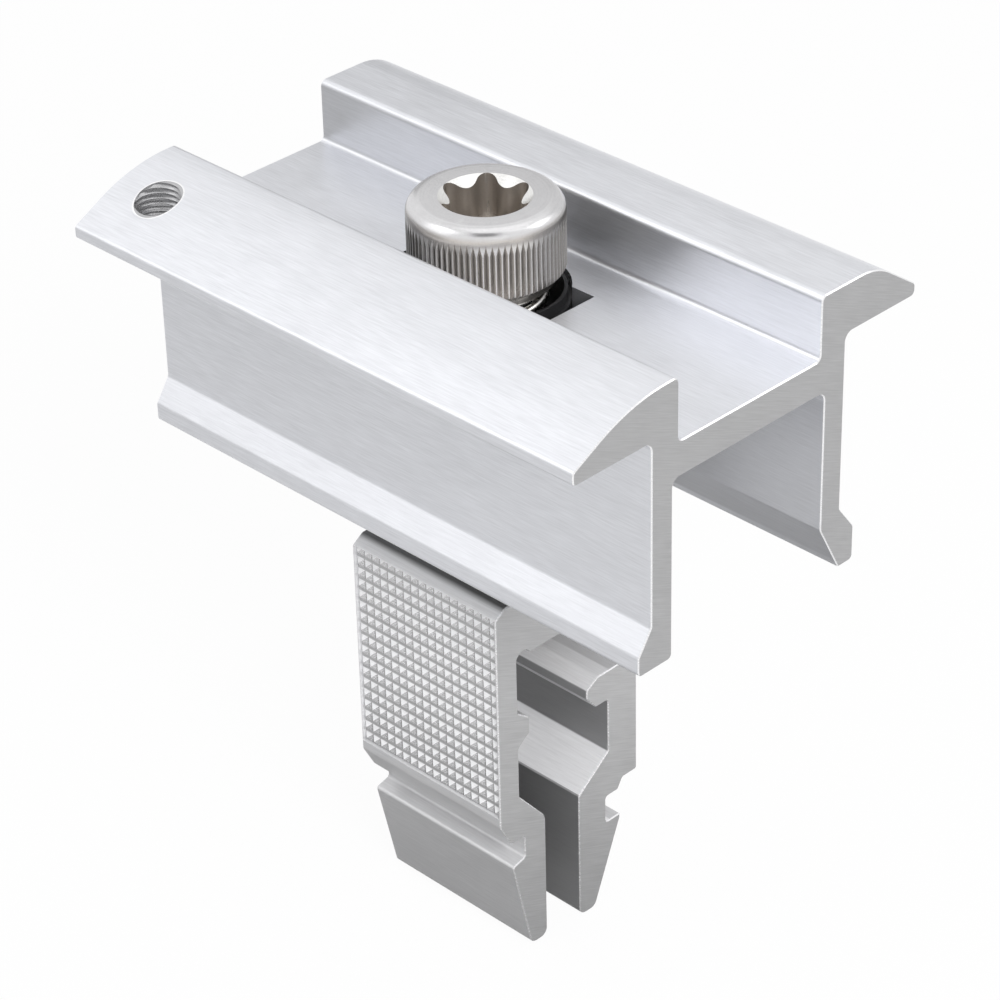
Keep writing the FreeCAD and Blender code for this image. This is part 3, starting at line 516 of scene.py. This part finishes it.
def brushed_aluminium(
    name, body_colour, end_colour, edge_highlight, depth, metal, painted_light, bore=None, dull=0.0
):
    """Extruded and brushed along X, with sawn ends, broken edges made lighter as a painted
    highlight, a bore with a painted highlight round its rim and painted shade on its wall, and the
    painted light and shade that the caller's function adds.
    """
    finish = Finish(name)
    x, y, z = finish.parts(finish.point())
    facing = finish.facing()
    right, _, up = facing
    end = abs(right).between(*END_FACE)
    edge = abs(right).between(*BEVEL_FACE) * (1 - end)
    wide = finish.vector(x * BRUSH_ALONG, y * BRUSH_ACROSS, z * BRUSH_ACROSS)
    fine = finish.vector(x * BRUSH_ALONG, y * FINE_ACROSS, z * FINE_ACROSS)
    brushed = finish.noise(wide, detail=3.0) * 0.6 + finish.noise(fine) * 0.4
    down = y * math.cos(SAW_SLANT) - z * math.sin(SAW_SLANT)
    across = y * math.sin(SAW_SLANT) + z * math.cos(SAW_SLANT)
    sawn = finish.noise(finish.vector(down * SAW_ALONG, across * SAW_ACROSS, x), detail=3.0)
    lines = brushed + (sawn - brushed) * end
    cloud = finish.noise(finish.vector(x * CLOUD_ALONG, y * CLOUD_ACROSS, z * CLOUD_ACROSS))
    plain = finish.blend(end, body_colour, end_colour)
    # The broken edges get a lighter colour, a painted highlight.
    lit = finish.blend(edge, plain, edge_highlight)
    if bore is not None:
        lit = bored(finish, lit, bore, (x, y, z), up)
    tone = (lines - 0.5) * 0.42 + (cloud - 0.5) * 0.10 + 1.0
    # Painted light and shade from the function that the caller gives.
    tone = tone * painted_light(x, y, z, facing)
    metal = metal - up.between(*TOP_FACE) * (1 - end) * dull
    rough = 0.36 + (lines - 0.5) * 0.25 + end * 0.06 - edge * 0.1
    bump = finish.bump(lines, depth)
    return finish.set(
        Base_Color=finish.toned(lit, tone), Roughness=rough, Normal=bump, Metallic=metal
    )


def bored(finish, colour, bore, point, up):
    """A colour with a painted highlight as a bright rim round a bore, and the thread's colour,
    darkened as painted shade, on its wall.
    """
    spot, radius, tapped_shade = bore
    x, y, z = point
    away = from_axis(x - spot[0] / MM, y - spot[1] / MM) - radius / MM
    # A painted highlight round the bore's rim, and painted shade darkening its threaded wall.
    rim_highlight = (1 - away.between(*BORE_RIM)) * up.between(*LEVEL_FACE)
    highlighted = finish.blend(rim_highlight, colour, RIM_HIGHLIGHT)
    wall = (1 - away.between(*BORE_WALL)) * z.between(*BORE_LOW)
    return finish.blend(wall, highlighted, tapped_shade)


def black_plastic(settings):
    """Moulded plastic with a fine grain."""
    finish = Finish("sleeve_black_plastic")
    grain = finish.noise(finish.point(), scale=14.0, detail=3.0)
    base = finish.blend(grain, settings.plastic, GREY_PLASTIC)
    bump = finish.bump(grain, 0.15)
    return finish.set(Base_Color=base, Roughness=0.32 + grain * 0.14, Normal=bump)


def stainless_steel(settings):
    """Stainless steel: a turned top, warmer flanks and a knurl; painted highlights on the lead-in
    and the knurl's tops, and painted shade in the socket, in the knurl's grooves and on the head's
    left and right sides.
    """
    finish = Finish("screw_stainless")
    spot = finish.point()
    x, y, z = finish.parts(spot)
    up = finish.facing()[2]
    radius = from_axis(x, y)
    upward = up.between(*HEAD_TOP_FACE)
    side = 1 - upward
    crown = upward * z.between(*CROWN_HEIGHT)
    hollow = 1 - radius.between(*SOCKET_MOUTH)
    above_foot = z.between(*HEAD_LOW)
    below_crown = 1 - z.between(*KNURL_HIGH)
    walls = hollow * above_foot * side
    groove = (1 - radius.between(*GROOVE_MOUTH)) * radius.between(*GROOVE_BOTTOM)
    groove = groove * z.between(*GROOVE_LOW) * below_crown * side
    crest = radius.between(*CREST_RADIUS) * side * z.between(*CREST_LOW) * below_crown
    turned = finish.blend(crown, settings.stainless, settings.head)
    # A painted highlight on the lead-in, painted shade on the socket's walls and in the knurl's
    # grooves, and a painted highlight on the knurl's tops.
    lead_in_highlight = finish.blend(crown * hollow, turned, settings.lead_in_highlight)
    socket_shaded = finish.blend(walls, lead_in_highlight, settings.socket)
    knurled = finish.blend(groove, socket_shaded, settings.groove)
    crest_lit = finish.blend(crest, knurled, settings.crest)
    rings = finish.noise(finish.vector(radius * RINGS, z * RINGS, 0.0), detail=3.0)
    broached = finish.noise(finish.vector(x * BROACH_ACROSS, y * BROACH_ACROSS, z * BROACH_ALONG))
    grain = broached + (rings - broached) * crown
    cloud = finish.noise(spot, scale=0.7, detail=3.0, roughness=0.55)
    speckle = finish.noise(spot, scale=6.0)
    # Painted shade on the head's left and right sides.
    sideways = abs(x * HEAD_SIDE_WAY[0] + y * HEAD_SIDE_WAY[1]) / radius
    side_shade = sideways.between(*HEAD_SIDE) * side * (1 - hollow) * above_foot * 0.55
    tone = (grain - 0.5) * 0.16 + (cloud - 0.5) * 0.12 + (speckle - 0.5) * 0.16 + 1.0 - side_shade
    rough = 0.24 + (grain - 0.5) * 0.12 + groove * 0.15 + walls * 0.08
    bump = finish.bump(grain, 0.12)
    return finish.set(
        Base_Color=finish.toned(crest_lit, tone), Roughness=rough, Normal=bump, Metallic=0.85
    )


def spring_steel(settings):
    """Bright drawn steel."""
    finish = Finish("spring_steel")
    grain = finish.noise(finish.point(), scale=2.5, detail=4.0)
    base = finish.toned(settings.spring, 0.85 + grain * 0.3)
    return finish.set(Base_Color=base, Roughness=0.18 + grain * 0.16, Metallic=1.0)


# Mesh tools


def clear_selection():
    """Leaves edit mode with nothing selected."""
    if bpy.context.object and bpy.context.object.mode != "OBJECT":
        bpy.ops.object.mode_set(mode="OBJECT")
    bpy.ops.object.select_all(action="DESELECT")


def paint(piece, material):
    """Gives a piece one finish all over."""
    piece.data.materials.clear()
    piece.data.materials.append(material)


def enter(piece):
    """Opens a piece for editing with all of it selected."""
    clear_selection()
    piece.select_set(True)
    bpy.context.view_layer.objects.active = piece
    bpy.ops.object.mode_set(mode="EDIT")
    bpy.ops.mesh.select_all(action="SELECT")


def leave():
    bpy.ops.object.mode_set(mode="OBJECT")


def copy_solid(node, name):
    """A merged copy of a carried-over solid, without its stored normals."""
    clear_selection()
    source = NODES[node]
    source.select_set(True)
    bpy.context.view_layer.objects.active = source
    bpy.ops.object.duplicate()
    piece = bpy.context.object
    piece.name = name
    bpy.ops.object.parent_clear(type="CLEAR_KEEP_TRANSFORM")
    bpy.ops.mesh.customdata_custom_splitnormals_clear()
    enter(piece)
    bpy.ops.mesh.remove_doubles(threshold=SAME_SPOT)
    leave()
    return piece


def cut(piece, point, normal, keep_front):
    """Cuts a piece along a plane, keeps one side of it and closes the cut."""
    enter(piece)
    bpy.ops.mesh.bisect(
        plane_co=point,
        plane_no=normal,
        use_fill=True,
        clear_inner=keep_front,
        clear_outer=not keep_front,
        threshold=SAME_SPOT,
    )
    leave()


def sweep(name, corners, spot, halves, turns, pitch):
    """A ring of corners round spot, swept up in turns round the Z axis."""
    clear_selection()
    bpy.ops.mesh.primitive_circle_add(
        vertices=corners, radius=1.0, location=spot, rotation=UPRIGHT
    )
    piece = bpy.context.object
    piece.name = name
    piece.scale = (halves[0], halves[1], 1.0)
    bpy.ops.object.transform_apply(location=True, rotation=True, scale=True)
    bpy.ops.object.modifier_add(type="SCREW")
    turn = piece.modifiers[0]
    turn.angle = math.tau * turns
    turn.screw_offset = pitch * turns
    turn.steps = turn.render_steps = round(TURN_STEPS * turns)
    turn.use_smooth_shade = False
    bpy.ops.object.modifier_apply(modifier=turn.name)
    return piece


def join(pieces, name):
    """Makes one object of several."""
    clear_selection()
    for piece in pieces:
        piece.select_set(True)
    bpy.context.view_layer.objects.active = pieces[0]
    bpy.ops.object.join()
    pieces[0].name = name
    return pieces[0]


def close_up(piece, smooth_angle, merge=NEAR_SPOT):
    """Merges doubles, closes open ends, turns the normals out and smooths the shading."""
    enter(piece)
    bpy.ops.mesh.remove_doubles(threshold=merge)
    bpy.ops.mesh.fill_holes(sides=0)
    bpy.ops.mesh.select_all(action="SELECT")
    bpy.ops.mesh.normals_make_consistent(inside=False)
    leave()
    bpy.ops.object.shade_smooth_by_angle(angle=math.radians(smooth_angle))


# Operators


class MIDCLAMP_OT_studio(bpy.types.Operator):
    """Adds the floor, the lamps and the camera"""

    bl_idname = "midclamp.studio"
    bl_label = "Studio"

    def execute(self, context):
        settings = context.scene.midclamp_studio
        clear_selection()
        self.add_floor(settings)
        self.add_world(context, settings)
        self.add_lamps(settings)
        self.add_boards(settings)
        self.add_camera(context, settings)
        context.scene.view_settings.view_transform = "Standard"
        return {"FINISHED"}

    def add_plane(self, name, spot, turn, side):
        """A flat square with a finish of its own."""
        bpy.ops.mesh.primitive_plane_add(size=side, location=spot, rotation=turn)
        plane = bpy.context.object
        plane.name = name
        bpy.ops.object.transform_apply(location=True, rotation=True, scale=True)
        finish = Finish(name + "_paint")
        plane.data.materials.append(finish.material)
        return plane, finish

    def add_floor(self, settings):
        """A matt floor that the camera sees as plain white."""
        low = (0.0, 0.0, CAD_BOX[0].z)
        floor, finish = self.add_plane("studio_floor", low, LEVEL, settings.floor_half * 2)
        finish.set(Base_Color=(*settings.floor_colour, 1.0), Roughness=0.9)
        matt = Wire(finish.tree, finish.shader.outputs[0])
        glow = finish.node("ShaderNodeEmission", {"Strength": 1.0})
        seen = direct_rays(finish.tree) * FLOOR_GLOW
        finish.show(finish.node("ShaderNodeMixShader", {0: seen, 1: matt, 2: glow}))
        floor.visible_glossy = False

    def add_world(self, context, settings):
        """White for the camera and the mirrors, and dimmer as a light."""
        world = bpy.data.worlds.new("studio_room")
        world.use_nodes = True
        context.scene.world = world
        tree = world.node_tree
        room = tree.nodes["Background"]
        strength = direct_rays(tree) * (1.0 - settings.room_light) + settings.room_light
        feed(tree, room.inputs["Strength"], strength)
        room.inputs["Color"].default_value = (1.0, 1.0, 1.0, 1.0)

    def add_lamps(self, settings):
        """Square lamps that look at the clamp's middle; the last one isn't mirrored."""
        lamps = (
            ("key_lamp", (-0.30, -0.42, 0.42), 0.45, settings.key_light, True),
            ("top_lamp", (0.05, 0.10, 0.70), 0.60, settings.top_light, True),
            ("fill_lamp", (0.46, -0.20, 0.34), 0.25, settings.fill_light, False),
        )
        for name, spot, side, power, mirrored in lamps:
            turn = (-Vector(spot)).to_track_quat("-Z", "Y").to_euler()
            bpy.ops.object.light_add(type="AREA", location=spot, rotation=turn)
            lamp = bpy.context.object
            lamp.name = name
            lamp.data.size = side
            lamp.data.energy = power
            lamp.visible_glossy = mirrored

    def add_boards(self, settings):
        """Grey boards round the clamp, on its ground and behind it, that only its metal mirrors."""
        boards = (
            ("right_board", (0.36, 0.35, -0.32), 0.9, settings.right_board, None),
            ("front_board", (-0.36, -0.35, -0.32), 0.9, settings.front_board, self.left_fade),
            ("crown_board", (0.20, -0.205, 0.52), 0.28, settings.crown_board, None),
            ("left_glint", (-0.25, -0.30, 0.47), 0.20, settings.glint_board, None),
            ("right_glint", (0.29, 0.37, 0.38), 0.24, settings.glint_board, None),
        )
        for name, spot, side, strength, fade in boards:
            turn = (-Vector(spot)).to_track_quat("Z", "Y").to_euler()
            self.add_board(name, spot, turn, side, strength, fade)
        # The foot board is a painted shadow on the ground under the hooks, which only the metal
        # mirrors.
        low = (0.0, 0.0, CAD_BOX[0].z + OVERLAP)
        around = self.round_fade(settings.foot_shadow_radius / MM)
        self.add_board("foot_shadow", low, LEVEL, 0.20, settings.foot_shadow, around)
        behind = (-0.07, 0.07, 0.09)
        self.add_board("rear_board", behind, UPRIGHT, 0.18, settings.rear_board, self.upper_fade)

    def round_fade(self, reach):
        """Clear from reach outwards."""

        def fade(x, y, z):
            return from_axis(x, y).between(reach * FADE_START, reach)

        return fade

    def left_fade(self, x, y, z):
        """A third clear, but for the left."""
        return x.between(*BOARD_LEFT) * 0.33

    def upper_fade(self, x, y, z):
        """Clear at the top, and more than half clear at the right."""
        return 1 - (1 - z.between(*BOARD_HIGH)) * (1 - x.between(*BOARD_RIGHT) * 0.6)

    def add_board(self, name, spot, turn, side, strength, fade):
        """A glowing board for mirror rays only, clear where fade says so."""
        board, finish = self.add_plane(name, spot, turn, side)
        glow = finish.node("ShaderNodeEmission", {"Strength": strength})
        if fade is not None:
            clear = finish.node("ShaderNodeBsdfTransparent")
            share = fade(*finish.parts(finish.point()))
            glow = finish.node("ShaderNodeMixShader", {0: share, 1: glow, 2: clear})
        finish.show(glow)
        board.visible_camera = False
        board.visible_diffuse = False
        board.visible_shadow = False
        board.visible_transmission = False

    def add_camera(self, context, settings):
        """The camera that took the photograph, as far as it could be worked out."""
        bpy.ops.object.camera_add(location=settings.camera_place, rotation=settings.camera_turn)
        camera = bpy.context.object
        camera.name = "photo_camera"
        camera.data.sensor_width = SENSOR
        camera.data.lens = settings.focal_pixels / IMAGE_SIDE * SENSOR
        camera.data.clip_start = NEAREST
        camera.data.clip_end = FARTHEST
        context.scene.camera = camera


class MIDCLAMP_OT_clamp(bpy.types.Operator):
    """Finishes the extruded clamp and its sleeve, and cuts the earthing hole's thread"""

    bl_idname = "midclamp.clamp"
    bl_label = "Clamp and sleeve"

    def execute(self, context):
        finish = context.scene.midclamp_finish
        sizes = context.scene.midclamp_pieces
        brushed = brushed_aluminium(
            "clamp_brushed_aluminium",
            finish.extrusion,
            finish.sawn,
            finish.broken_edge_highlight,
            depth=0.3,
            metal=0.85,
            painted_light=channel_painted_shade,
            bore=(sizes.earth_place, sizes.earth_bore, finish.tapped_shade),
        )
        paint(NODES["clamp_body"], brushed)
        paint(NODES["guide_sleeve"], black_plastic(finish))
        self.add_thread(sizes, brushed)
        return {"FINISHED"}

    def add_thread(self, sizes, material):
        """The ridge of the thread in the earthing hole, cut off flush with the wing."""
        root = sizes.earth_bore + RIDGE_ROOT
        halves = (root - sizes.earth_crest, sizes.earth_pitch * EARTH_RIDGE_SHARE)
        spot = (root, 0.0, WING_LOW - sizes.earth_pitch)
        turns = EARTH_RIDGE_TALL / sizes.earth_pitch
        ridge = sweep("earthing_thread", RIDGE_CORNERS, spot, halves, turns, sizes.earth_pitch)
        ridge.location = sizes.earth_place
        bpy.ops.object.transform_apply(location=True, rotation=True, scale=True)
        close_up(ridge, smooth_angle=20)
        cut(ridge, WING_TOP, Vector(WING_SLOPE).normalized(), keep_front=False)
        cut(ridge, (0.0, 0.0, WING_LOW + OVERLAP), UP, keep_front=True)
        close_up(ridge, smooth_angle=20)
        paint(ridge, material)
        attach(ridge, "clamp")


class MIDCLAMP_OT_jaws(bpy.types.Operator):
    """Finishes the two jaws and the leaf between them"""

    bl_idname = "midclamp.jaws"
    bl_label = "Jaws"

    def execute(self, context):
        finish = context.scene.midclamp_finish
        for node, painted_light in (("front_jaw", grip_painted_light), ("rear_jaw", cavity_painted_light)):
            satin = brushed_aluminium(
                node + "_satin_aluminium",
                finish.jaw,
                finish.jaw_end,
                finish.jaw_edge_highlight,
                depth=0.2,
                metal=0.6,
                painted_light=painted_light,
                dull=0.4,
            )
            paint(NODES[node], satin)
        paint(NODES["jaw_spring"], spring_steel(finish))
        return {"FINISHED"}


class MIDCLAMP_OT_screw(bpy.types.Operator):
    """Adds the threaded screw and the spring with closed ends round it"""

    bl_idname = "midclamp.screw"
    bl_label = "Screw and spring"

    def execute(self, context):
        finish = context.scene.midclamp_finish
        sizes = context.scene.midclamp_pieces
        self.add_screw(sizes, stainless_steel(finish))
        self.add_spring(sizes, spring_steel(finish))
        return {"FINISHED"}

    def add_screw(self, sizes, material):
        """The solid's own head and tip, and a threaded core between them."""
        head = copy_solid("cap_screw", "screw_head")
        cut(head, (0.0, 0.0, -sizes.neck_drop), UP, keep_front=True)
        tip = copy_solid("cap_screw", "screw_tip")
        cut(tip, (0.0, 0.0, -sizes.tip_drop), UP, keep_front=False)
        depth = sizes.tip_drop - sizes.neck_drop + OVERLAP
        bpy.ops.mesh.primitive_cylinder_add(
            vertices=TURN_STEPS,
            radius=sizes.thread_core,
            depth=depth,
            location=(0.0, 0.0, -(sizes.tip_drop + sizes.neck_drop) / 2),
        )
        core = bpy.context.object
        bpy.ops.object.transform_apply(location=True, rotation=True, scale=True)
        root = sizes.thread_core - RIDGE_ROOT
        halves = (sizes.thread_crest - root, sizes.thread_pitch * SCREW_RIDGE_SHARE)
        spot = (root, 0.0, -sizes.tip_drop - OVERLAP)
        turns = depth / sizes.thread_pitch
        ridge = sweep("screw_ridge", RIDGE_CORNERS, spot, halves, turns, sizes.thread_pitch)
        close_up(ridge, smooth_angle=20)
        screw = join([head, tip, core, ridge], "screw")
        close_up(screw, smooth_angle=28, merge=EXACT_SPOT)
        bpy.ops.object.modifier_add(type="WEIGHTED_NORMAL")
        screw.modifiers[-1].keep_sharp = True
        bpy.ops.object.modifier_apply(modifier=screw.modifiers[-1].name)
        paint(screw, material)
        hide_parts("cap_screw")
        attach(screw, "screw")

    def add_spring(self, sizes, material):
        """Free coils between two closed ones."""
        wire = sizes.wire_radius
        closed = wire * 2
        free = (sizes.coil_high - sizes.coil_low - closed * 2) / sizes.coil_free
        parts = []
        height = sizes.coil_low
        for turns, pitch in ((1.0, closed), (sizes.coil_free, free), (1.0, closed)):
            spot = (sizes.coil_radius, 0.0, height)
            parts.append(sweep("coil_part", WIRE_CORNERS, spot, (wire, wire), turns, pitch))
            height += turns * pitch
        spring = join(parts, "spring_coils")
        close_up(spring, smooth_angle=40)
        paint(spring, material)
        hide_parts("lift_spring")
        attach(spring, "rail_jaw")
        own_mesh(spring)


class MIDCLAMP_PT_panel(bpy.types.Panel):
    bl_label = "Mid Clamp"
    bl_idname = "MIDCLAMP_PT_panel"
    bl_space_type = "VIEW_3D"
    bl_region_type = "UI"
    bl_category = "Mid Clamp"

    def draw(self, context):
        for operator in OPERATORS:
            self.layout.operator(operator.bl_idname)


GROUPS = {
    "midclamp_studio": StudioSettings,
    "midclamp_finish": FinishSettings,
    "midclamp_pieces": PieceSettings,
}
OPERATORS = (MIDCLAMP_OT_studio, MIDCLAMP_OT_clamp, MIDCLAMP_OT_jaws, MIDCLAMP_OT_screw)


def register():
    for group in GROUPS.values():
        bpy.utils.register_class(group)
    for operator in OPERATORS:
        bpy.utils.register_class(operator)
    bpy.utils.register_class(MIDCLAMP_PT_panel)
    for name, group in GROUPS.items():
        setattr(bpy.types.Scene, name, bpy.props.PointerProperty(type=group))


def unregister():
    for name in GROUPS:
        delattr(bpy.types.Scene, name)
    bpy.utils.unregister_class(MIDCLAMP_PT_panel)
    for operator in reversed(OPERATORS):
        bpy.utils.unregister_class(operator)
    for group in reversed(list(GROUPS.values())):
        bpy.utils.unregister_class(group)


def main():
    register()
    bpy.ops.midclamp.studio()
    bpy.ops.midclamp.clamp()
    bpy.ops.midclamp.jaws()
    bpy.ops.midclamp.screw()


if __name__ == "__main__":
    main()
